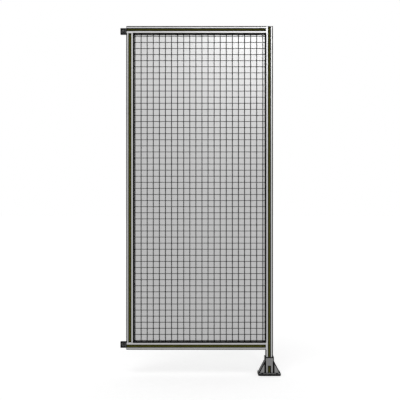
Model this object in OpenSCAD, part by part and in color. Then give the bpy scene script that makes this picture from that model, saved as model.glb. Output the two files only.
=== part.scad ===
// Machine guard fence panel: a T-slot aluminium frame with a post and foot on its right, filled with
// welded wire mesh and a backing sheet, and joined to the next panel by two brackets on its left.
// Z is up. The origin is the centre of the foot's underside, X runs along the panel and -Y is its front.

/* [Frame] */
// Width of the square T-slot profile
profile_w = 45; // [44:0.5:48]
// Height of the panel, from the floor to the top of the post's cap
panel_h = 2173; // [1500:1:2400]
// Width of the panel, from the stile's outer face to the post's outer face
panel_w = 914; // [500:1:1200]
// Clear height under the bottom rail
ground_gap = 157; // [140:1:300]

/* [Profile section] */
// Width of the mouth of each slot
slot_w = 10; // [9.5:0.1:11]
// Thickness of the lips beside the mouth
lip_t = 4.5; // [3.5:0.1:5]
// Width of the slot behind the lips
slot_cavity_w = 21; // [19:0.5:22]
// Depth of the slot below the profile's face
slot_depth = 15; // [14:0.1:15.5]
// Bevel at the edges of the mouth
mouth_bevel = 1; // [0.2:0.1:1.5]
// Diameter of the bore along the profile's core
core_bore_d = 9; // [6.8:0.1:9.5]
// Width of the hollow in each corner of the profile
corner_hollow_w = 7.5; // [5:0.5:8]
// Thickness of the wall outside each corner hollow
corner_wall_t = 2.5; // [2:0.1:3]
// Radius of the profile's long edges
edge_r = 2; // [1:0.1:3]

/* [Infill] */
// Diameter of the upright mesh wires
upright_d = 4.6; // [3.8:0.1:4.8]
// Diameter of the level mesh wires
level_d = 3.4; // [2.4:0.1:3.6]
// Sides of each wire's section
wire_sides = 6; // [4, 6, 8]
// Distance between the wires, both ways
mesh_pitch = 38.1; // [25:0.1:60]
// How far the welds set the level wires into the upright ones
weld_set_down = 0.8; // [0.2:0.1:1.2]
// Distance from the stile's inner face to the first upright wire
first_upright_offset = 7.7; // [3:0.1:20]
// Distance from the bottom rail's upper face to the first level wire
first_level_offset = 7.6; // [3:0.1:20]
// Thickness of the backing sheet
sheet_t = 1; // [0.8:0.1:1.5]
// How far the infill runs into the slots
seat_depth = 8; // [5:0.5:9]
// How far the rubber gasket shows beyond the profile's face
gasket_lip = 4; // [2:0.5:6]

/* [End caps] */
// Thickness of the caps on the profile ends
cap_t = 3; // [3:0.5:6]
// Radius of the caps' outer rims
cap_rim_r = 2.5; // [1:0.5:2.5]
// Length of the caps' pegs, inside the corner hollows
cap_peg_l = 10; // [6:1:14]

/* [Post foot] */
// Width of the foot's base plate, along the panel
foot_base_w = 140; // [130:1:160]
// Depth of the foot's base plate, across the panel
foot_base_d = 100; // [96:1:130]
// Thickness of the foot's base plate
foot_base_t = 12; // [10:0.5:15]
// Radius of the base plate's corners
foot_corner_r = 15; // [5:0.5:18]
// Height of the foot
foot_h = 112; // [100:1:130]
// Thickness of the collar's wall around the post
collar_wall_t = 5.2; // [5:0.1:8]
// Height of the collar's top band, above the wings
collar_band_h = 25; // [12:1:30]
// Width of the grooves between the front and back pads and the wings
pad_groove_w = 4; // [2:0.5:6]
// Depth of those grooves
pad_groove_depth = 3; // [1:0.5:3]
// Width of the slot notch in each pad
notch_w = 13; // [11:0.5:16]
// Height of the top of the slot notch above the floor
notch_top_h = 56; // [40:1:70]
// Distance between the anchor holes along the panel
anchor_span_x = 90; // [84:1:100]
// Distance between the anchor holes across the panel
anchor_span_y = 76; // [72:1:80]
// Diameter of the anchor holes
anchor_d = 11; // [9:0.5:12]

/* [Joining brackets] */
// Height of each bracket
bracket_h = 41; // [36:1:44]
// Thickness of each bracket's plate
bracket_t = 9; // [8:0.5:12]
// How far each bracket reaches on either side of the stile's outer face
bracket_reach = 41.5; // [41:0.5:44]
// Width of the rim around the pocket in the bracket's free half
bracket_rim = 4.5; // [3:0.5:6]
// Depth of that pocket
pocket_depth = 3; // [1:0.5:3]
// Width of the land between the pocket and the stile
bracket_land = 12.5; // [10:0.5:13]
// Diameter of the brackets' screws
screw_d = 8; // [6:1:8]

/* [Hidden] */

eps = 0.5;
$fn = 48;

// Frame, from the driving sizes
half_w = profile_w / 2;
stile_outer_x = half_w - panel_w;
stile_x = stile_outer_x + half_w;
opening_left_x = stile_outer_x + profile_w;
opening_right_x = -half_w;
opening_bottom_z = ground_gap + profile_w;
opening_top_z = panel_h - profile_w;
opening_w = opening_right_x - opening_left_x;
opening_h = opening_top_z - opening_bottom_z;
top_rail_z = panel_h - half_w;
bottom_rail_z = ground_gap + half_w;
rail_l = panel_w - profile_w - cap_t;

// Profile section: the slot narrows to its floor at 45 degrees, clear of the core bore
slot_floor_w = 10;
slot_taper_h = (slot_cavity_w - slot_floor_w) / 2;
corner_hollow_c = half_w - corner_wall_t - corner_hollow_w / 2;

// Infill: the upright wires are in front, the level wires behind them and the sheet at the back
infill_t = upright_d + level_d - weld_set_down + sheet_t;
infill_front_y = -infill_t / 2;
upright_y = infill_front_y + upright_d / 2;
level_y = upright_y + (upright_d + level_d) / 2 - weld_set_down;
sheet_y = infill_t / 2 - sheet_t / 2;
infill_w = opening_w + 2 * seat_depth;
infill_h = opening_h + 2 * seat_depth;
infill_x = (opening_left_x + opening_right_x) / 2;
infill_z = (opening_bottom_z + opening_top_z) / 2;
edge_margin = 3;
upright_count = floor((opening_w - first_upright_offset - edge_margin) / mesh_pitch) + 1;
level_count = floor((opening_h - first_level_offset - edge_margin) / mesh_pitch) + 1;
section_count = 3;
levels_per_section = ceil(level_count / section_count);
gasket_floor_t = 1;

// End caps
peg_clearance = 0.2;
peg_w = corner_hollow_w - 2 * peg_clearance;

// Post foot
post_clearance = 0.3;
socket_w = profile_w + 2 * post_clearance;
collar_w = socket_w + 2 * collar_wall_t;
band_z = foot_h - collar_band_h;
wing_inset = 2.5;
wing_reach = foot_base_w / 2 - wing_inset;
pad_w = collar_w - 2 * pad_groove_w;
groove_end_gap = 4;
groove_h = band_z - groove_end_gap - foot_base_t;

// Joining brackets
screw_head_d = 13;
screw_head_h = 8;
head_clearance = 0.5;
screw_shoulder_d = screw_d + 0.4;
screw_hole_clearance = 0.3;
screw_hole_d = screw_shoulder_d + 2 * screw_hole_clearance;
counterbore_depth = bracket_t - pocket_depth - 1;
bracket_corner_r = 3;
hex_key_w = 6;
hex_key_depth = 4;
nut_t = 6;
nut_l = 20;
nut_clearance = 0.2;
nut_collar_w = slot_w - 2 * nut_clearance;
nut_w = slot_cavity_w - 2;
nut_bevel = 2.5;
screw_end_l = lip_t + nut_t;
boss_d = screw_head_d + 4;
bracket_y = half_w;
free_hole_x = stile_outer_x - half_w;

// ---- Shared shapes ----

// Rectangle centred on the origin with true arcs at its corners
module rounded_rect(w, h, r) {
    square([w - 2 * r, h], center = true);
    square([w, h - 2 * r], center = true);
    for (sx = [-1, 1], sy = [-1, 1])
        translate([sx * (w / 2 - r), sy * (h / 2 - r)])
            circle(r);
}

// Rectangle of width w standing on y = 0, with arcs at its two upper corners
module arched_rect(w, h, r) {
    translate([-w / 2, 0])
        square([w, h - r]);
    translate([r - w / 2, 0])
        square([w - 2 * r, h]);
    for (sx = [-1, 1])
        translate([sx * (w / 2 - r), h - r])
            circle(r);
}

// One T-slot of the section, opening towards +Y
module slot_section() {
    mouth = slot_w / 2;
    cavity = slot_cavity_w / 2;
    floor_half = slot_floor_w / 2;
    floor_y = half_w - slot_depth;
    polygon([
        [-mouth - mouth_bevel - eps, half_w + eps],
        [-mouth, half_w - mouth_bevel],
        [-mouth, half_w - lip_t],
        [-cavity, half_w - lip_t],
        [-cavity, floor_y + slot_taper_h],
        [-floor_half, floor_y],
        [floor_half, floor_y],
        [cavity, floor_y + slot_taper_h],
        [cavity, half_w - lip_t],
        [mouth, half_w - lip_t],
        [mouth, half_w - mouth_bevel],
        [mouth + mouth_bevel + eps, half_w + eps]
    ]);
}

// Section of the frame profile: four T-slots, a core bore and four corner hollows
module profile_section() {
    difference() {
        rounded_rect(profile_w, profile_w, edge_r);
        for (side = [0:3])
            rotate(90 * side)
                slot_section();
        circle(d = core_bore_d);
        for (sx = [-1, 1], sy = [-1, 1])
            translate([sx * corner_hollow_c, sy * corner_hollow_c])
                square(corner_hollow_w, center = true);
    }
}

// Length of profile that starts at the origin and runs up
module profile(length) {
    linear_extrude(length)
        profile_section();
}

// Turns what runs up +Z so that it runs along -X
module along_minus_x() {
    rotate([0, -90, 0])
        children();
}

// End cap that sits on z = 0, with its pegs below
module end_cap() {
    intersection() {
        linear_extrude(cap_t)
            rounded_rect(profile_w, profile_w, edge_r);
        rotate([90, 0, 0])
            linear_extrude(profile_w, center = true)
                arched_rect(profile_w, cap_t, cap_rim_r);
        rotate([90, 0, 90])
            linear_extrude(profile_w, center = true)
                arched_rect(profile_w, cap_t, cap_rim_r);
    }
    for (sx = [-1, 1], sy = [-1, 1])
        translate([sx * corner_hollow_c - peg_w / 2, sy * corner_hollow_c - peg_w / 2, -cap_peg_l])
            cube([peg_w, peg_w, cap_peg_l + eps]);
}

// ---- Frame ----

module post() {
    color("silver")
        translate([0, 0, foot_base_t])
            profile(panel_h - cap_t - foot_base_t);
}

module left_stile() {
    color("silver")
        translate([stile_x, 0, opening_bottom_z])
            profile(opening_h);
}

// A rail runs over the stile to the panel's outer side, and butts against the post
module rail(z) {
    color("silver")
        translate([-half_w, 0, z])
            along_minus_x()
                profile(rail_l);
}

module rail_cap(z) {
    color("dimgray")
        translate([stile_outer_x + cap_t, 0, z])
            along_minus_x()
                end_cap();
}

module post_cap() {
    color("dimgray")
        translate([0, 0, panel_h - cap_t])
            end_cap();
}

// ---- Infill ----

function upright_x(i) = opening_left_x + first_upright_offset + i * mesh_pitch;
function level_z(i) = opening_bottom_z + first_level_offset + i * mesh_pitch;

// Height at which section s of the mesh starts: halfway between two level wires, or in a rail's slot
function section_z(s) =
    s == 0 ? opening_bottom_z - seat_depth
    : s == section_count ? opening_top_z + seat_depth
    : level_z(s * levels_per_section) - mesh_pitch / 2;

// Straight wire along +Z whose flat sides face along Y
module wire(d, length) {
    rotate(90 + 180 / wire_sides)
        cylinder(d = d / cos(180 / wire_sides), h = length, $fn = wire_sides);
}

// Section s of the welded mesh, fused wherever its wires cross
module mesh_section(s) {
    first_level = s * levels_per_section;
    last_level = min(first_level + levels_per_section, level_count) - 1;
    color("gray")
        union() {
            for (i = [0:upright_count - 1])
                translate([upright_x(i), upright_y, section_z(s)])
                    wire(upright_d, section_z(s + 1) - section_z(s));
            for (i = [first_level:last_level])
                translate([opening_right_x + seat_depth, level_y, level_z(i)])
                    along_minus_x()
                        wire(level_d, infill_w);
        }
}

module backing_sheet() {
    color("lightgray")
        translate([infill_x, sheet_y, infill_z])
            cube([infill_w, sheet_t, infill_h], center = true);
}

// Channel along +Z that wraps the infill's edge; its base is in the slot and its lips point along +X
module gasket(length) {
    color("black")
        difference() {
            translate([-seat_depth - gasket_floor_t, -slot_w / 2, 0])
                cube([seat_depth + gasket_floor_t + gasket_lip, slot_w, length]);
            translate([-seat_depth, -infill_t / 2, -eps])
                cube([seat_depth + gasket_lip + eps, infill_t, length + 2 * eps]);
        }
}

module gasket_left() {
    translate([opening_left_x, 0, opening_bottom_z + gasket_lip])
        gasket(opening_h - 2 * gasket_lip);
}

module gasket_right() {
    translate([opening_right_x, 0, opening_bottom_z + gasket_lip])
        mirror([1, 0, 0])
            gasket(opening_h - 2 * gasket_lip);
}

module gasket_bottom() {
    translate([opening_right_x, 0, opening_bottom_z])
        along_minus_x()
            gasket(opening_w);
}

module gasket_top() {
    translate([opening_right_x, 0, opening_top_z])
        mirror([0, 0, 1])
            along_minus_x()
                gasket(opening_w);
}

// ---- Post foot ----

// Notch in the front and back pads, round at its top, through which the post's slot shows
module slot_notch() {
    notch_r = notch_w / 2;
    straight_h = notch_top_h - notch_r - foot_base_t;
    rotate([90, 0, 0])
        linear_extrude(collar_w + 2 * eps, center = true) {
            translate([-notch_r, foot_base_t])
                square([notch_w, straight_h]);
            translate([0, foot_base_t + straight_h])
                circle(notch_r);
        }
}

// Grooves that part the front and back pads from the wings, between the base plate and the collar's band
module pad_grooves() {
    for (sx = [-1, 1], sy = [-1, 1])
        translate([sx * (pad_w + pad_groove_w) / 2, sy * collar_w / 2, foot_base_t + groove_h / 2])
            cube([pad_groove_w, 2 * pad_groove_depth, groove_h], center = true);
}

// Casting: base plate, sloping side wings, grooved front and back pads, and a collar around the post
module post_foot() {
    color("darkgray")
        difference() {
            union() {
                linear_extrude(foot_base_t)
                    rounded_rect(foot_base_w, foot_base_d, foot_corner_r);
                rotate([90, 0, 0])
                    linear_extrude(collar_w, center = true)
                        polygon([
                            [-wing_reach, foot_base_t - eps],
                            [wing_reach, foot_base_t - eps],
                            [wing_reach, foot_base_t],
                            [collar_w / 2, band_z],
                            [collar_w / 2, foot_h],
                            [-collar_w / 2, foot_h],
                            [-collar_w / 2, band_z],
                            [-wing_reach, foot_base_t]
                        ]);
            }
            translate([-socket_w / 2, -socket_w / 2, foot_base_t])
                cube([socket_w, socket_w, foot_h]);
            pad_grooves();
            slot_notch();
            for (sx = [-1, 1], sy = [-1, 1])
                translate([sx * anchor_span_x / 2, sy * anchor_span_y / 2, -eps])
                    cylinder(d = anchor_d, h = foot_base_t + 2 * eps);
        }
}

// ---- Joining brackets ----

// Places what is drawn on y = 0 on the frame's back face, at the height of rail centre z
module on_back(x, z) {
    translate([x, bracket_y, z])
        children();
}

// Hole along Y from y0, for a length to the back
module hole_along_y(x, y0, d, length) {
    translate([x, y0, 0])
        rotate([-90, 0, 0])
            cylinder(d = d, h = length);
}

// Plate across the joint between two panels: one half on the rail, and a pocketed free half
module bracket(z) {
    pocket_w = bracket_reach - bracket_land - bracket_rim;
    pocket_h = bracket_h - 2 * bracket_rim;
    color("#2a2a2a")
        on_back(stile_outer_x, z)
            difference() {
                rotate([-90, 0, 0])
                    linear_extrude(bracket_t)
                        rounded_rect(2 * bracket_reach, bracket_h, bracket_corner_r);
                difference() {
                    translate([-bracket_reach + bracket_rim, -eps, -pocket_h / 2])
                        cube([pocket_w, pocket_depth + eps, pocket_h]);
                    hole_along_y(-half_w, -2 * eps, boss_d, pocket_depth + 4 * eps);
                }
                for (sx = [-1, 1]) {
                    hole_along_y(sx * half_w, -eps, screw_hole_d, bracket_t + 2 * eps);
                    hole_along_y(sx * half_w, bracket_t - counterbore_depth,
                        screw_head_d + 2 * head_clearance, counterbore_depth + eps);
                }
            }
}

// Socket-head screw: head at the back, shoulder in the bracket, and an end that reaches through a nut
module bracket_screw(x, z) {
    seat_y = bracket_t - counterbore_depth;
    color("dimgray")
        on_back(x, z)
            difference() {
                union() {
                    hole_along_y(0, -screw_end_l, screw_d, screw_end_l + eps);
                    hole_along_y(0, 0, screw_shoulder_d, seat_y + eps);
                    hole_along_y(0, seat_y, screw_head_d, screw_head_h);
                }
                translate([0, seat_y + screw_head_h - hex_key_depth, 0])
                    rotate([-90, 0, 0])
                        cylinder(d = hex_key_w / cos(30), h = hex_key_depth + eps, $fn = 6);
            }
}

// Slot nut in a rail: a collar in the slot's mouth and a wide bevelled body behind the lips
module slot_nut(x, z) {
    color("gray")
        on_back(x, z)
            rotate([0, 90, 0])
                difference() {
                    linear_extrude(nut_l, center = true)
                        polygon([
                            [-nut_collar_w / 2, 0],
                            [-nut_collar_w / 2, -lip_t],
                            [-nut_w / 2, -lip_t],
                            [-nut_w / 2, -lip_t - nut_t + nut_bevel],
                            [-nut_w / 2 + nut_bevel, -lip_t - nut_t],
                            [nut_w / 2 - nut_bevel, -lip_t - nut_t],
                            [nut_w / 2, -lip_t - nut_t + nut_bevel],
                            [nut_w / 2, -lip_t],
                            [nut_collar_w / 2, -lip_t],
                            [nut_collar_w / 2, 0]
                        ]);
                    hole_along_y(0, -lip_t - nut_t - eps, screw_d + nut_clearance, lip_t + nut_t + 2 * eps);
                }
}

post();
left_stile();
rail(top_rail_z);  // top_rail
rail(bottom_rail_z);  // bottom_rail
mesh_section(0);  // mesh_lower
mesh_section(1);  // mesh_middle
mesh_section(2);  // mesh_upper
backing_sheet();
gasket_left();
gasket_right();
gasket_top();
gasket_bottom();
post_cap();
rail_cap(top_rail_z);  // top_rail_cap
rail_cap(bottom_rail_z);  // bottom_rail_cap
post_foot();
bracket(top_rail_z);  // upper_bracket
bracket_screw(stile_x, top_rail_z);  // upper_fixed_screw
slot_nut(stile_x, top_rail_z);  // upper_fixed_nut
bracket_screw(free_hole_x, top_rail_z);  // upper_free_screw
bracket(bottom_rail_z);  // lower_bracket
bracket_screw(stile_x, bottom_rail_z);  // lower_fixed_screw
slot_nut(stile_x, bottom_rail_z);  // lower_fixed_nut
bracket_screw(free_hole_x, bottom_rail_z);  // lower_free_screw
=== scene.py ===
import math

import bmesh
import bpy
from mathutils import Matrix, Vector


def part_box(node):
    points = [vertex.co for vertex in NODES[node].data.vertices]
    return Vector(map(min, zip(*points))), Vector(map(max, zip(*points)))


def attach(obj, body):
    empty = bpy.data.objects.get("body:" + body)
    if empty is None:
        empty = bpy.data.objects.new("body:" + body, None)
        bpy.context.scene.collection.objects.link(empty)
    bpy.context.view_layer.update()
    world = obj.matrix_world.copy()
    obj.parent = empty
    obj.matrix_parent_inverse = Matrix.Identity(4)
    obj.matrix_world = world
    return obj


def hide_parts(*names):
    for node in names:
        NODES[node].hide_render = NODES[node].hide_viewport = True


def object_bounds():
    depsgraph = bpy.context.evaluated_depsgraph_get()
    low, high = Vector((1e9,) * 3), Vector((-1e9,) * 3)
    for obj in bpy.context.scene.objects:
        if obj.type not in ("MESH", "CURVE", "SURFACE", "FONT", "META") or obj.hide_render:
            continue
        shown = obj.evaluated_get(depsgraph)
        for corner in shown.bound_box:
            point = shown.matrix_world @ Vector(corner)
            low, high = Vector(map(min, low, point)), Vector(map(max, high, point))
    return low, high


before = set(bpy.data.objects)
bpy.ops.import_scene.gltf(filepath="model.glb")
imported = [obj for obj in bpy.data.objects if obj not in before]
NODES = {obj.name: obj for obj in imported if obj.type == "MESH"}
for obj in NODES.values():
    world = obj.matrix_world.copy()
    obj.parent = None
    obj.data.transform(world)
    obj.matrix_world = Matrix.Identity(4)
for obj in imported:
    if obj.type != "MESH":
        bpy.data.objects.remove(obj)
cad_low, cad_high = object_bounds()

# The looks of a machine guard fence panel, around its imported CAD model. Lengths are in metres.
# +Z is up, the panel lies along X, and its front, where the mesh is, faces -Y.

# ---- Sizes read from the frame ----

post_low, post_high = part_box("post")
stile_low, stile_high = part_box("left_stile")
PROFILE_W = post_high.x - post_low.x
HALF_W = PROFILE_W / 2
FRONT_Y = -HALF_W

# The profile's slot: half its mouth, and the thickness of the lips in front of its coloured inside
MOUTH_HALF = 0.005
LIP_T = 0.0045

# How far the dark lines of painted shade run over the profile's faces: from the panel's outer
# edges, from the edges on the side of its opening (on the upright profiles and on the rails), from
# the slots' mouths, and from the ends of the slots that stop at another profile
OUTER_LINE = 0.0062
UPRIGHT_INNER_LINE = 0.0042
RAIL_INNER_LINE = 0.0032
MOUTH_LINE = 0.0050
END_LINE = 0.0040

# The post foot: its base plate, half its collar, where the collar's band starts, the reach of its
# wings on the base, the slot's notch, and how far the grooves beside the wings lie from its axis
FOOT_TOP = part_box("post_foot")[1].z
FOOT_BASE_T = 0.012
COLLAR_HALF = 0.028
BAND_Z = 0.087
WING_REACH = 0.0675
NOTCH_TOP = 0.056
NOTCH_HALF = 0.0065
GROOVE_X = 0.0262

# The mesh: its wires, their spacing, how far the welds set one layer into the other, the first
# wires' distance from the frame, and how near the frame the last ones may come
UPRIGHT_D = 0.0046
LEVEL_D = 0.0034
MESH_PITCH = 0.0381
WELD_SET_DOWN = 0.0008
FIRST_UPRIGHT = 0.0077
FIRST_LEVEL = 0.0076
EDGE_MARGIN = 0.003

# Socket-head screws, M8
SCREW_D = 0.008
SCREW_PITCH = 0.00125
HEAD_D = 0.013
HEAD_H = 0.008
HEAD_CHAMFER = 0.0008
KNURL_DEPTH = 0.00025
KEY_W = 0.006
KEY_DEPTH = 0.004
KEY_BEVEL = 0.0003


# ---- Shader building ----


class Shader:
    """A material with a Principled shader, and short ways to add nodes that feed it."""

    def __init__(self, name, metallic, roughness):
        self.material = bpy.data.materials.new(name)
        self.material.use_nodes = True
        self.tree = self.material.node_tree
        self.bsdf = self.tree.nodes["Principled BSDF"]
        self.bsdf.inputs["Metallic"].default_value = metallic
        self.bsdf.inputs["Roughness"].default_value = roughness
        self.coords = self.add("ShaderNodeTexCoord").outputs["Object"]

    def add(self, kind, **settings):
        node = self.tree.nodes.new(kind)
        for key, value in settings.items():
            setattr(node, key, value)
        return node

    def feed(self, source, socket):
        """Links a socket, or sets a plain value."""
        if isinstance(source, bpy.types.NodeSocket):
            self.tree.links.new(source, socket)
        else:
            socket.default_value = source

    def math(self, operation, a, b=0.0, clamp=False):
        node = self.add("ShaderNodeMath", operation=operation, use_clamp=clamp)
        self.feed(a, node.inputs[0])
        self.feed(b, node.inputs[1])
        return node.outputs["Value"]

    def split(self, vector):
        """The X, Y and Z of a vector."""
        node = self.add("ShaderNodeSeparateXYZ")
        self.feed(vector, node.inputs[0])
        return node.outputs

    def facing(self):
        """The X, Y and Z of the direction that the face points in, before any bump."""
        return self.split(self.add("ShaderNodeNewGeometry").outputs["True Normal"])

    def noise(self, scale, detail=3.0, roughness=0.5):
        """Noise from 0 to 1. scale is cycles a metre along X, Y and Z."""
        mapping = self.add("ShaderNodeMapping")
        self.feed(self.coords, mapping.inputs["Vector"])
        mapping.inputs["Scale"].default_value = scale
        node = self.add("ShaderNodeTexNoise")
        self.feed(mapping.outputs["Vector"], node.inputs["Vector"])
        node.inputs["Scale"].default_value = 1.0
        node.inputs["Detail"].default_value = detail
        node.inputs["Roughness"].default_value = roughness
        return node.outputs["Fac"]

    def ramp(self, value, low, high, to_low=0.0, to_high=1.0):
        """Smooth step: value from low to high becomes to_low to to_high."""
        node = self.add("ShaderNodeMapRange", interpolation_type="SMOOTHSTEP")
        self.feed(value, node.inputs["Value"])
        node.inputs["From Min"].default_value = low
        node.inputs["From Max"].default_value = high
        node.inputs["To Min"].default_value = to_low
        node.inputs["To Max"].default_value = to_high
        return node.outputs["Result"]

    def mix(self, factor, a, b):
        """Colour a where factor is 0 and b where it is 1."""
        node = self.add("ShaderNodeMix", data_type="RGBA")
        self.feed(factor, node.inputs["Factor"])
        self.feed(a, node.inputs[6])
        self.feed(b, node.inputs[7])
        return node.outputs[2]

    def colour(self, source):
        self.feed(source, self.bsdf.inputs["Base Color"])

    def roughness(self, source):
        self.feed(source, self.bsdf.inputs["Roughness"])

    def metallic(self, source):
        self.feed(source, self.bsdf.inputs["Metallic"])

    def gloss(self, source):
        """Strength of the plain reflection of a surface that isn't metal, 0.5 by default."""
        self.feed(source, self.bsdf.inputs["Specular IOR Level"])

    def edges(self, radius, strength=1.0):
        """How near a sharp edge is: strength on it and 0 beyond the radius."""
        bevel = self.add("ShaderNodeBevel", samples=8)
        bevel.inputs["Radius"].default_value = radius
        dot = self.add("ShaderNodeVectorMath", operation="DOT_PRODUCT")
        self.feed(bevel.outputs["Normal"], dot.inputs[0])
        self.feed(self.add("ShaderNodeNewGeometry").outputs["Normal"], dot.inputs[1])
        return self.ramp(dot.outputs["Value"], 0.9, 0.995, strength, 0.0)

    def band(self, value, centre, half, blur):
        """1 where value lies within half of centre, and 0 beyond it."""
        away = self.math("ABSOLUTE", self.math("SUBTRACT", value, centre))
        return self.ramp(away, half - blur, half + blur, 1.0, 0.0)

    def most(self, values):
        """The largest of some values."""
        largest = values[0]
        for value in values[1:]:
            largest = self.math("MAXIMUM", largest, value)
        return largest

    def relief(self, height, distance, edge_radius=0.0):
        """Bump of that height in metres, over edges that are rounded to edge_radius."""
        bump = self.add("ShaderNodeBump")
        bump.inputs["Distance"].default_value = distance
        self.feed(height, bump.inputs["Height"])
        if edge_radius:
            bevel = self.add("ShaderNodeBevel", samples=4)
            bevel.inputs["Radius"].default_value = edge_radius
            self.feed(bevel.outputs["Normal"], bump.inputs["Normal"])
        self.feed(bump.outputs["Normal"], self.bsdf.inputs["Normal"])


def grey(value):
    return (value, value, value, 1.0)


# ---- Materials ----

# Half the width over which a line on a surface fades out
BLUR = 0.0003

# Size of the die lines' pattern across a profile and along it, in cycles a metre
DIE_LINES_ACROSS = 1400.0
DIE_LINES_ALONG = 3.0

ALUMINIUM = grey(0.455)
ALUMINIUM_WORN = grey(0.495)
# Painted shade: near-black for the dark lines on the profiles' edges, round their slots' mouths and
# at their slots' ends
PAINTED_OUTLINE_SHADE = grey(0.004)
SLOT_OLIVE = (0.2, 0.2, 0.04, 1.0)
# Painted shade: the grey of the foot's sideways faces and of the middle line on its base's rim
PAINTED_SHADE_GREY = grey(0.045)

# Half the width of each kind of painted-shade dark line on the foot, and of the pale line along its
# base's rim
GROOVE_LINE = 0.0053
FOOT_LINE = 0.0056
NOTCH_LINE = 0.0032
TOP_LINE = 0.0056
BASE_LINE = 0.0030
RIM_MIDDLE = 0.0008

# Floor dust on the foot: how much there is at the floor, and how far up it reaches
DUST = 0.45
DUST_TOP = 0.09

# Painted highlight on the bracket's front in pale grey: a ring of this radius round its free screw,
# and a strip this far from the stile that reaches this far above and below the bracket's middle
HIGHLIGHT_RING = 0.0097
HIGHLIGHT_HALF = 0.0023
HIGHLIGHT_TONE = 0.12
LAND_MIDDLE = 0.0075
LAND_REACH = 0.0155


def profile_material(node, outer_side, inner_line, joins, slot_ends):
    """Satin anodised extrusion: fine die lines along its length, dark lines of painted shade at its
    edges and round its slots' mouths, and an olive-brown slot behind the lips. outer_side, -1 or 1,
    is the side away from the panel's opening. Each join is a side and two places along the profile
    between which that side meets another profile and has no line. slot_ends are the places along it
    where its slots end at another profile, where the slot gets a painted dark shade line."""
    low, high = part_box(node)
    size = high - low
    along = max(range(3), key=lambda axis: size[axis])
    across = 0 if along == 2 else 2
    shader = Shader(node + "_anodised", metallic=1.0, roughness=0.32)
    position = shader.split(shader.coords)
    centre = (low[across] + high[across]) / 2
    offset = shader.math("SUBTRACT", position[across], centre)
    u = shader.math("ABSOLUTE", offset)
    v = shader.math("ABSOLUTE", position[1])
    depth = shader.math("SUBTRACT", HALF_W, shader.math("MAXIMUM", u, v))
    aside = shader.math("MINIMUM", u, v)
    in_slot = shader.ramp(depth, LIP_T - BLUR, LIP_T + BLUR)

    outer = shader.math("GREATER_THAN", shader.math("MULTIPLY", offset, outer_side), 0.0)
    wider = shader.math("MULTIPLY", outer, OUTER_LINE - inner_line)
    reach = shader.math("ADD", aside, wider)
    edge_at = HALF_W - inner_line
    mouth_at = MOUTH_HALF + MOUTH_LINE
    edge = shader.ramp(reach, edge_at - BLUR, edge_at + BLUR)
    for side, start, end in joins:
        on_side = shader.math("GREATER_THAN", shader.math("MULTIPLY", offset, side), 0.0)
        after = shader.math("GREATER_THAN", position[along], start)
        before = shader.math("LESS_THAN", position[along], end)
        joined = shader.math("MULTIPLY", on_side, shader.math("MULTIPLY", after, before))
        edge = shader.math("MULTIPLY", edge, shader.math("SUBTRACT", 1.0, joined))
    mouth = shader.ramp(aside, mouth_at - BLUR, mouth_at + BLUR, 1.0, 0.0)
    dark = shader.math("MAXIMUM", edge, mouth)

    stretch = [DIE_LINES_ACROSS] * 3
    stretch[along] = DIE_LINES_ALONG
    die_lines = shader.noise(stretch, detail=4.0)
    cloud = shader.noise((9.0, 9.0, 9.0), detail=4.0)
    tone = shader.mix(cloud, ALUMINIUM, ALUMINIUM_WORN)
    tone = shader.mix(shader.ramp(die_lines, 0.62, 0.8, 0.0, 0.3), tone, grey(0.36))
    # Painted shade: dark lines along the edges and round the slots' mouths, without metal or gloss
    tone = shader.mix(dark, tone, PAINTED_OUTLINE_SHADE)
    inside = SLOT_OLIVE
    # Painted shade: a dark line inside each slot where it ends at another profile
    for place in slot_ends:
        near = shader.band(position[along], place, END_LINE, BLUR)
        inside = shader.mix(near, inside, PAINTED_OUTLINE_SHADE)
    shader.colour(shader.mix(in_slot, tone, inside))
    metal = shader.math("SUBTRACT", 1.0, shader.math("MAXIMUM", in_slot, dark))
    shader.metallic(metal)
    shader.gloss(shader.math("MULTIPLY", metal, 0.5))
    shader.roughness(shader.ramp(cloud, 0.2, 0.8, 0.29, 0.35))
    shader.relief(die_lines, 0.00002, edge_radius=0.0006)
    return shader.material


def sheet_material():
    """Satin grey metal sheet with slow waves in its surface. Its faint upright grain stretches the
    highlight sideways."""
    shader = Shader("satin_sheet", metallic=1.0, roughness=0.32)
    grain = shader.noise((2500.0, 2500.0, 120.0), detail=3.0)
    waves = shader.noise((2.5, 2.5, 1.2), detail=2.0)
    tone = shader.mix(waves, grey(0.465), grey(0.495))
    shader.colour(shader.mix(shader.ramp(grain, 0.55, 0.8, 0.0, 0.3), tone, grey(0.38)))
    shader.roughness(shader.ramp(waves, 0.3, 0.7, 0.3, 0.34))
    shader.relief(grain, 0.00001)
    sideways = shader.add("ShaderNodeCombineXYZ")
    sideways.inputs["X"].default_value = 1.0
    shader.feed(sideways.outputs["Vector"], shader.bsdf.inputs["Tangent"])
    shader.feed(0.2, shader.bsdf.inputs["Anisotropic"])
    return shader.material


def wire_material():
    """Dark powder coat on wire: fine orange peel, and patches that are a little greyer at random.
    """
    shader = Shader("wire_powder_coat", metallic=0.0, roughness=0.5)
    peel = shader.noise((900.0, 900.0, 900.0), detail=3.0)
    patches = shader.noise((30.0, 30.0, 30.0), detail=3.0)
    shader.gloss(0.15)
    shader.colour(shader.mix(patches, grey(0.003), grey(0.008)))
    shader.roughness(shader.ramp(peel, 0.3, 0.7, 0.5, 0.65))
    shader.relief(peel, 0.00005)
    return shader.material


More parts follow.
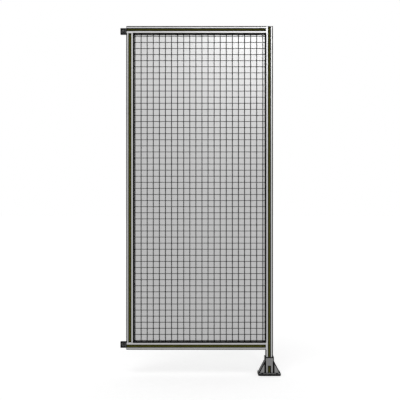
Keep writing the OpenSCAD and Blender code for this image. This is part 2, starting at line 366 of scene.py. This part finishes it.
def rubber_material():
    """Black rubber with a dull, slightly dusty surface."""
    shader = Shader("gasket_rubber", metallic=0.0, roughness=0.75)
    grain = shader.noise((1500.0, 1500.0, 1500.0), detail=3.0)
    dust = shader.noise((14.0, 14.0, 14.0), detail=5.0)
    shader.gloss(0.15)
    shader.colour(shader.mix(shader.ramp(dust, 0.5, 0.8, 0.0, 0.5), grey(0.004), grey(0.012)))
    shader.roughness(shader.ramp(dust, 0.3, 0.8, 0.68, 0.85))
    shader.relief(grain, 0.00004)
    return shader.material


def plastic_material():
    """Black moulded plastic with a spark-eroded grain."""
    shader = Shader("cap_plastic", metallic=0.0, roughness=0.5)
    grain = shader.noise((1200.0, 1200.0, 1200.0), detail=4.0)
    patches = shader.noise((60.0, 60.0, 60.0), detail=3.0)
    shader.gloss(0.15)
    shader.colour(shader.mix(patches, grey(0.006), grey(0.012)))
    shader.roughness(shader.ramp(grain, 0.3, 0.7, 0.42, 0.62))
    shader.relief(grain, 0.00006, edge_radius=0.0006)
    return shader.material


def foot_lines(shader, across, up):
    """Painted shade as dark lines on the foot's front and back: its grooves, slopes, band, notch
    and base.
    """
    over_base = shader.math("GREATER_THAN", up, FOOT_BASE_T)
    in_band = shader.math("GREATER_THAN", up, BAND_Z)
    below_band = shader.math("MULTIPLY", over_base, shader.math("SUBTRACT", 1.0, in_band))
    groove = shader.band(across, GROOVE_X, GROOVE_LINE, BLUR)
    band_edge = shader.band(across, COLLAR_HALF, FOOT_LINE, BLUR)
    rise = BAND_Z - FOOT_BASE_T
    run = WING_REACH - COLLAR_HALF
    slope_l = math.hypot(rise, run)
    out = shader.math("MULTIPLY", shader.math("SUBTRACT", WING_REACH, across), rise / slope_l)
    over = shader.math("MULTIPLY", shader.math("SUBTRACT", up, FOOT_BASE_T), run / slope_l)
    slope = shader.band(shader.math("SUBTRACT", out, over), 0.0, FOOT_LINE, BLUR)
    notch_side = shader.band(across, 0.0, NOTCH_HALF + NOTCH_LINE, BLUR)
    notch_height = shader.math("LESS_THAN", up, NOTCH_TOP + NOTCH_LINE)
    return shader.most([
        shader.math("MULTIPLY", groove, below_band),
        shader.math("MULTIPLY", band_edge, in_band),
        shader.math("MULTIPLY", slope, below_band),
        shader.math("MULTIPLY", notch_side, notch_height),
        shader.band(up, FOOT_TOP, TOP_LINE, BLUR),
        shader.band(up, FOOT_BASE_T, BASE_LINE, BLUR),
    ])


def casting_material():
    """Grey die-casting: fine cast skin, faint flow marks, a little pale dust towards the floor,
    painted shade that darkens its sides, and dark lines of painted shade along its edges, grooves
    and base rim."""
    shader = Shader("foot_casting", metallic=0.5, roughness=0.6)
    skin = shader.noise((700.0, 700.0, 700.0), detail=5.0, roughness=0.6)
    flow = shader.noise((25.0, 25.0, 60.0), detail=5.0)
    tone = shader.mix(flow, grey(0.21), grey(0.27))
    tone = shader.mix(shader.ramp(skin, 0.6, 0.8, 0.0, 0.4), tone, grey(0.15))

    x, _, up = shader.split(shader.coords)
    across = shader.math("ABSOLUTE", x)
    sideways, frontal, upward = (
        shader.ramp(shader.math("ABSOLUTE", share), 0.4, 0.6) for share in shader.facing()
    )
    tone = shader.mix(shader.ramp(up, 0.0, DUST_TOP, DUST, 0.0), tone, grey(0.4))
    # Painted shade: the foot's faces that point sideways are darker
    tone = shader.mix(sideways, tone, PAINTED_SHADE_GREY)
    lines = shader.math("MULTIPLY", frontal, foot_lines(shader, across, up))
    # Painted shade: the base's rim is near-black apart from a line along its middle
    on_rim = shader.math("LESS_THAN", up, FOOT_BASE_T)
    rim_middle = shader.band(up, FOOT_BASE_T / 2, RIM_MIDDLE, BLUR)
    rim = shader.math("MULTIPLY", on_rim, shader.math("SUBTRACT", 1.0, rim_middle))
    rim = shader.math("MULTIPLY", rim, shader.math("SUBTRACT", 1.0, upward))
    tone = shader.mix(shader.math("MULTIPLY", on_rim, rim_middle), tone, PAINTED_SHADE_GREY)
    # Painted shade: near-black on the foot's lines, its base's rim and every sharp edge, without
    # metal or gloss
    edge = shader.most([lines, rim, shader.edges(0.008)])

    shader.colour(shader.mix(edge, tone, grey(0.003)))
    face = shader.math("MULTIPLY", shader.math("SUBTRACT", 1.0, edge), 0.5)
    shader.metallic(face)
    shader.gloss(face)
    shader.roughness(shader.ramp(skin, 0.3, 0.7, 0.5, 0.7))
    shader.relief(skin, 0.00015, edge_radius=0.0015)
    return shader.material


def bracket_material(level):
    """Near-black powder coat on a casting. Its front has a painted highlight in pale grey on the
    floor of the pocket, round the free screw, and along the middle of the land beside the stile."""
    low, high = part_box(level + "_bracket")
    screw_low, screw_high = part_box(level + "_free_screw")
    shader = Shader(level + "_bracket_coat", metallic=0.0, roughness=0.45)
    peel = shader.noise((800.0, 800.0, 800.0), detail=3.0)
    patches = shader.noise((40.0, 40.0, 40.0), detail=4.0)

    x, _, z = shader.split(shader.coords)
    dx = shader.math("SUBTRACT", x, (screw_low.x + screw_high.x) / 2)
    dz = shader.math("ABSOLUTE", shader.math("SUBTRACT", z, (low.z + high.z) / 2))
    square = shader.math("ADD", shader.math("MULTIPLY", dx, dx), shader.math("MULTIPLY", dz, dz))
    from_screw = shader.math("SQRT", square)
    pocket = shader.band(from_screw, HIGHLIGHT_RING, HIGHLIGHT_HALF, BLUR)
    land = shader.band(x, stile_low.x - LAND_MIDDLE, HIGHLIGHT_HALF, BLUR)
    land = shader.math("MULTIPLY", land, shader.math("LESS_THAN", dz, LAND_REACH))
    front = shader.math("LESS_THAN", shader.facing()[1], -0.5)
    # Painted highlight: a pale grey ring round the free screw and a pale grey strip along the land
    painted_highlight = shader.math("MULTIPLY", front, shader.most([pocket, land]))

    tone = shader.mix(patches, grey(0.004), grey(0.010))
    shader.colour(shader.mix(painted_highlight, tone, grey(HIGHLIGHT_TONE)))
    shader.gloss(0.1)
    shader.roughness(shader.ramp(peel, 0.3, 0.7, 0.38, 0.55))
    shader.relief(peel, 0.00006, edge_radius=0.001)
    return shader.material


def fixing_material():
    """Dark oxide steel with an oily, uneven sheen."""
    shader = Shader("fixing_black_oxide", metallic=1.0, roughness=0.4)
    cloud = shader.noise((180.0, 180.0, 180.0), detail=5.0)
    shader.colour(shader.mix(cloud, grey(0.06), grey(0.16)))
    shader.roughness(shader.ramp(cloud, 0.3, 0.7, 0.3, 0.5))
    shader.relief(cloud, 0.00003, edge_radius=0.0003)
    return shader.material


# ---- Mesh building ----


def new_piece(name, mesh, material, slot_name, *replaced):
    """Makes a finished bmesh into a piece that rides on the panel and stands for CAD nodes."""
    data = bpy.data.meshes.new(name)
    mesh.to_mesh(data)
    mesh.free()
    data.materials.append(material)
    piece = bpy.data.objects.new(name, data)
    bpy.context.scene.collection.objects.link(piece)
    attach(piece, "root")
    if replaced:
        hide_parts(*replaced)
    return piece


def ring(mesh, centre, side, up, radius, count, turn=0.0):
    """A ring of vertices round centre, in the plane of the unit vectors side and up."""
    angles = [turn + math.tau * k / count for k in range(count)]
    return [
        mesh.verts.new(centre + radius * (math.cos(a) * side + math.sin(a) * up))
        for a in angles
    ]


def bridge(mesh, ring_a, ring_b, smooth=True):
    """Quads between two rings of the same count."""
    count = len(ring_a)
    for k in range(count):
        after = (k + 1) % count
        face = mesh.faces.new((ring_a[k], ring_a[after], ring_b[after], ring_b[k]))
        face.smooth = smooth


def lathe(mesh, base, axis, outline, count, smooth=True):
    """Turns an outline of (distance along axis, radius) round the axis, and closes both ends."""
    side = axis.orthogonal().normalized()
    up = axis.cross(side)
    rings = [ring(mesh, base + axis * t, side, up, r, count) for t, r in outline]
    for ring_a, ring_b in zip(rings, rings[1:]):
        bridge(mesh, ring_a, ring_b, smooth)
    mesh.faces.new(list(reversed(rings[0])))
    mesh.faces.new(rings[-1])
    return rings


# ---- Welded wire mesh ----

opening_low = Vector((stile_high.x, 0.0, stile_low.z))
opening_high = Vector((post_low.x, 0.0, stile_high.z))
mesh_front_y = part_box("mesh_lower")[0].y
upright_y = mesh_front_y + UPRIGHT_D / 2
level_y = upright_y + (UPRIGHT_D + LEVEL_D) / 2 - WELD_SET_DOWN


def places(first, last, inset):
    """Positions of the wires between two faces of the frame, one mesh pitch apart."""
    count = int((last - first - inset - EDGE_MARGIN) / MESH_PITCH + 1e-4) + 1
    return [first + inset + k * MESH_PITCH for k in range(count)]


uprights = places(opening_low.x, opening_high.x, FIRST_UPRIGHT)
levels = places(opening_low.z, opening_high.z, FIRST_LEVEL)


def add_wire(mesh, start, end, diameter, sides=10):
    """Straight round wire whose cut ends are slightly chamfered."""
    axis = (end - start).normalized()
    length = (end - start).length
    radius = diameter / 2
    cut = radius * 0.25
    outline = [(0.0, radius - cut), (cut, radius), (length - cut, radius), (length, radius - cut)]
    lathe(mesh, start, axis, outline, sides)


def add_weld(mesh, x, z):
    """The small swelling where the weld has squeezed two wires together."""
    spread = Matrix.Diagonal((UPRIGHT_D * 0.7, LEVEL_D * 0.5, LEVEL_D * 0.8, 1.0))
    place = Matrix.Translation((x, (upright_y + level_y) / 2, z))
    made = bmesh.ops.create_icosphere(mesh, subdivisions=2, radius=1.0, matrix=place @ spread)
    for vert in made["verts"]:
        for face in vert.link_faces:
            face.smooth = True


def make_mesh_section(node, material):
    """The wires and welds of one CAD section of the mesh."""
    low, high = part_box(node)
    mesh = bmesh.new()
    for x in uprights:
        add_wire(mesh, Vector((x, upright_y, low.z)), Vector((x, upright_y, high.z)), UPRIGHT_D)
    for z in [z for z in levels if low.z < z < high.z]:
        add_wire(mesh, Vector((low.x, level_y, z)), Vector((high.x, level_y, z)), LEVEL_D)
        for x in uprights:
            add_weld(mesh, x, z)
    new_piece(node.replace("mesh", "wires"), mesh, material, "mesh_wire", node)


# ---- Screws ----


def add_screw(mesh, tip, seat, sides=48):
    """Socket-head screw along +Y: a threaded shank from tip to seat, and a knurled head there."""
    axis = Vector((0, 1, 0))
    radius = SCREW_D / 2
    root = radius - 0.6 * SCREW_PITCH
    length = (seat - tip).length
    thread = [(0.0, root - 0.0004), (0.0005, root)]
    turns = int((length - 0.002) / SCREW_PITCH)
    for k in range(turns):
        t = 0.0008 + k * SCREW_PITCH
        thread += [(t + 0.45 * SCREW_PITCH, radius), (t + 0.9 * SCREW_PITCH, root)]
    thread.append((length, radius))
    lathe(mesh, tip, axis, thread, 24)

    side, up = Vector((1, 0, 0)), Vector((0, 0, 1))
    head = HEAD_D / 2
    knurl_t = 0.0004
    steps = [
        (0.0, head - 0.0003),
        (knurl_t, head),
        (HEAD_H - HEAD_CHAMFER, head),
        (HEAD_H, head - HEAD_CHAMFER),
    ]
    rings = [ring(mesh, seat + axis * t, up, side, r, 2 * sides) for t, r in steps]
    for vert in rings[1][1::2]:
        vert.co -= KNURL_DEPTH * (vert.co - seat - axis * knurl_t).normalized()
    for ring_a, ring_b in zip(rings, rings[1:]):
        bridge(mesh, ring_a, ring_b, smooth=False)
    mesh.faces.new(list(reversed(rings[0])))
    key = KEY_W / 2 / math.cos(math.pi / 6)
    mouth = ring(mesh, seat + axis * HEAD_H, up, side, key + KEY_BEVEL, 2 * sides)
    bridge(mesh, rings[-1], mouth, smooth=False)
    hexagon = ring(mesh, seat + axis * (HEAD_H - KEY_BEVEL), up, side, key, 2 * sides)
    floor = ring(mesh, seat + axis * (HEAD_H - KEY_DEPTH), up, side, key, 2 * sides)
    for vert in hexagon + floor:
        flat_to_hexagon(vert, seat, up, side)
    bridge(mesh, mouth, hexagon, smooth=False)
    bridge(mesh, hexagon, floor, smooth=False)
    mesh.faces.new(floor)


def flat_to_hexagon(vert, centre, side, up):
    """Pulls a vertex on a circle in to the hexagon inside that circle."""
    offset = vert.co - centre
    a, b = offset.dot(side), offset.dot(up)
    angle = math.atan2(b, a) % (math.pi / 3) - math.pi / 6
    scale = math.cos(math.pi / 6) / math.cos(angle)
    vert.co += (scale - 1.0) * (a * side + b * up)


def make_screw(node, material):
    """A detailed screw in the place of a CAD node's plain one."""
    low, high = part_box(node)
    x, z = (low.x + high.x) / 2, (low.z + high.z) / 2
    tip = Vector((x, low.y, z))
    seat = Vector((x, high.y - HEAD_H, z))
    mesh = bmesh.new()
    add_screw(mesh, tip, seat)
    new_piece(node.replace("screw", "socket_screw"), mesh, material, "fixing", node)


# ---- Dressing the CAD nodes ----


def dress(node, material):
    """Gives a CAD node that is shown as it is its finish."""
    piece = NODES[node]
    piece.data.materials.clear()
    piece.data.materials.append(material)


def dress_panel():
    """Finishes every piece. The rails cross the stile's ends and stop at the post."""
    rails = [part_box(node) for node in ("top_rail", "bottom_rail")]
    at_stile = (stile_low.x, stile_high.x - UPRIGHT_INNER_LINE)
    profiles = {
        "post": (1, UPRIGHT_INNER_LINE, [(-1, low.z, high.z) for low, high in rails], []),
        "left_stile": (-1, UPRIGHT_INNER_LINE, [], [stile_low.z, stile_high.z]),
        "top_rail": (1, RAIL_INNER_LINE, [(-1, *at_stile)], [post_low.x]),
        "bottom_rail": (-1, RAIL_INNER_LINE, [(1, *at_stile)], [post_low.x]),
    }
    for node, lines in profiles.items():
        dress(node, profile_material(node, *lines))
    dress("backing_sheet", sheet_material())
    rubber = rubber_material()
    for side in ("left", "right", "top", "bottom"):
        dress("gasket_" + side, rubber)
    plastic = plastic_material()
    for node in ("post_cap", "top_rail_cap", "bottom_rail_cap"):
        dress(node, plastic)
    dress("post_foot", casting_material())
    oxide = fixing_material()
    for level in ("upper", "lower"):
        dress(level + "_bracket", bracket_material(level))
        dress(level + "_fixed_nut", oxide)
        for half in ("fixed", "free"):
            make_screw(f"{level}_{half}_screw", oxide)
    wire = wire_material()
    for node in ("mesh_lower", "mesh_middle", "mesh_upper"):
        make_mesh_section(node, wire)


# ---- Stage: floor, backdrop, light and camera ----

# Distance from the camera to the panel's front face, the width that the picture covers there, and
# how far the camera is from standing square before the panel's middle
CAMERA_DISTANCE = 4.27
PICTURE_W = 2.4906
CAMERA_OFFSET = Vector((-0.0005, 0.0, 0.003))
SENSOR_W = 36.0

# Two lamps. The first one's glow on the front face lies this far beyond the panel's top right
# corner, and the second casts the shadow. Spreads are in degrees.
GLOW_ASIDE = 0.15
GLOW_ABOVE = 0.3
GLOW_SPREAD = 6.0
GLOW_STRENGTH = 0.245
ABOVE_TOWARDS = Vector((-0.25, -0.5, 1.0))
ABOVE_SPREAD = 25.0
ABOVE_STRENGTH = 0.35
LAMP_DISTANCE = 6.0

# The even light from all round, and the floor: its grey, what it adds for the camera alone, its
# reach, and how far it lies under the foot
WORLD_FILL = 0.6
FLOOR_GREY = 0.75
FLOOR_GLOW = 0.5
FLOOR_REACH = 40.0
FLOOR_DROP = 0.0005


def seen_directly(tree):
    """1 for what the camera, a reflection or a transparent surface shows, and 0 for plain light."""
    path = tree.nodes.new("ShaderNodeLightPath")
    total = tree.nodes.new("ShaderNodeMath")
    total.operation = "ADD"
    tree.links.new(path.outputs["Is Camera Ray"], total.inputs[0])
    tree.links.new(path.outputs["Is Glossy Ray"], total.inputs[1])
    every = tree.nodes.new("ShaderNodeMath")
    every.operation = "ADD"
    every.use_clamp = True
    tree.links.new(total.outputs[0], every.inputs[0])
    tree.links.new(path.outputs["Is Transmission Ray"], every.inputs[1])
    return every.outputs[0]


def make_world():
    """Plain even light, with a white background behind the object."""
    world = bpy.data.worlds.new("studio")
    bpy.context.scene.world = world
    world.use_nodes = True
    tree = world.node_tree
    strength = tree.nodes.new("ShaderNodeMapRange")
    tree.links.new(seen_directly(tree), strength.inputs["Value"])
    strength.inputs["To Min"].default_value = WORLD_FILL
    strength.inputs["To Max"].default_value = 1.0
    background = tree.nodes["Background"]
    background.inputs["Color"].default_value = grey(1.0)
    tree.links.new(strength.outputs["Result"], background.inputs["Strength"])


def make_floor():
    """Wide pale floor that reads white in the picture and keeps the object's shadow."""
    mesh = bmesh.new()
    signs = [(-1, -1), (1, -1), (1, 1), (-1, 1)]
    height = cad_low.z - FLOOR_DROP
    mesh.faces.new([mesh.verts.new((x * FLOOR_REACH, y * FLOOR_REACH, height)) for x, y in signs])
    data = bpy.data.meshes.new("floor")
    mesh.to_mesh(data)
    mesh.free()
    floor = bpy.data.objects.new("floor", data)
    bpy.context.scene.collection.objects.link(floor)
    material = bpy.data.materials.new("pale_floor")
    material.use_nodes = True
    tree = material.node_tree
    shader = tree.nodes["Principled BSDF"]
    shader.inputs["Base Color"].default_value = grey(FLOOR_GREY)
    shader.inputs["Roughness"].default_value = 0.9
    shader.inputs["Specular IOR Level"].default_value = 0.0
    shader.inputs["Emission Color"].default_value = grey(1.0)
    glow = tree.nodes.new("ShaderNodeMath")
    glow.operation = "MULTIPLY"
    tree.links.new(seen_directly(tree), glow.inputs[0])
    glow.inputs[1].default_value = FLOOR_GLOW
    tree.links.new(glow.outputs[0], shader.inputs["Emission Strength"])
    data.materials.append(material)


def distant_light(name, towards, spread, strength):
    """Light from far away. towards points from the object to the light."""
    data = bpy.data.lights.new(name, "SUN")
    data.angle = math.radians(spread)
    data.energy = strength
    light = bpy.data.objects.new(name, data)
    light.location = towards.normalized() * LAMP_DISTANCE
    light.rotation_euler = (-towards).to_track_quat("-Z", "Y").to_euler()
    bpy.context.scene.collection.objects.link(light)


def make_lights(camera_place):
    """A glow that the front face mirrors at its top right, and a soft light from above."""
    glow_place = Vector((post_high.x + GLOW_ASIDE, FRONT_Y, post_high.z + GLOW_ABOVE))
    to_camera = (camera_place - glow_place).normalized()
    mirrored = Vector((-to_camera.x, to_camera.y, -to_camera.z))
    distant_light("glow", mirrored, GLOW_SPREAD, GLOW_STRENGTH)
    distant_light("above", ABOVE_TOWARDS, ABOVE_SPREAD, ABOVE_STRENGTH)


def camera_position(centre):
    return Vector((centre.x, FRONT_Y - CAMERA_DISTANCE, centre.z)) + CAMERA_OFFSET


def make_camera(centre):
    data = bpy.data.cameras.new("camera")
    data.sensor_width = SENSOR_W
    data.lens = SENSOR_W * CAMERA_DISTANCE / PICTURE_W
    camera = bpy.data.objects.new("camera", data)
    camera.location = camera_position(centre)
    camera.rotation_euler = (math.pi / 2, 0.0, 0.0)
    bpy.context.scene.collection.objects.link(camera)
    bpy.context.scene.camera = camera


dress_panel()
object_centre = (cad_low + cad_high) / 2
make_world()
make_floor()
make_lights(camera_position(object_centre))
make_camera(object_centre)
bpy.context.scene.view_settings.view_transform = "Standard"
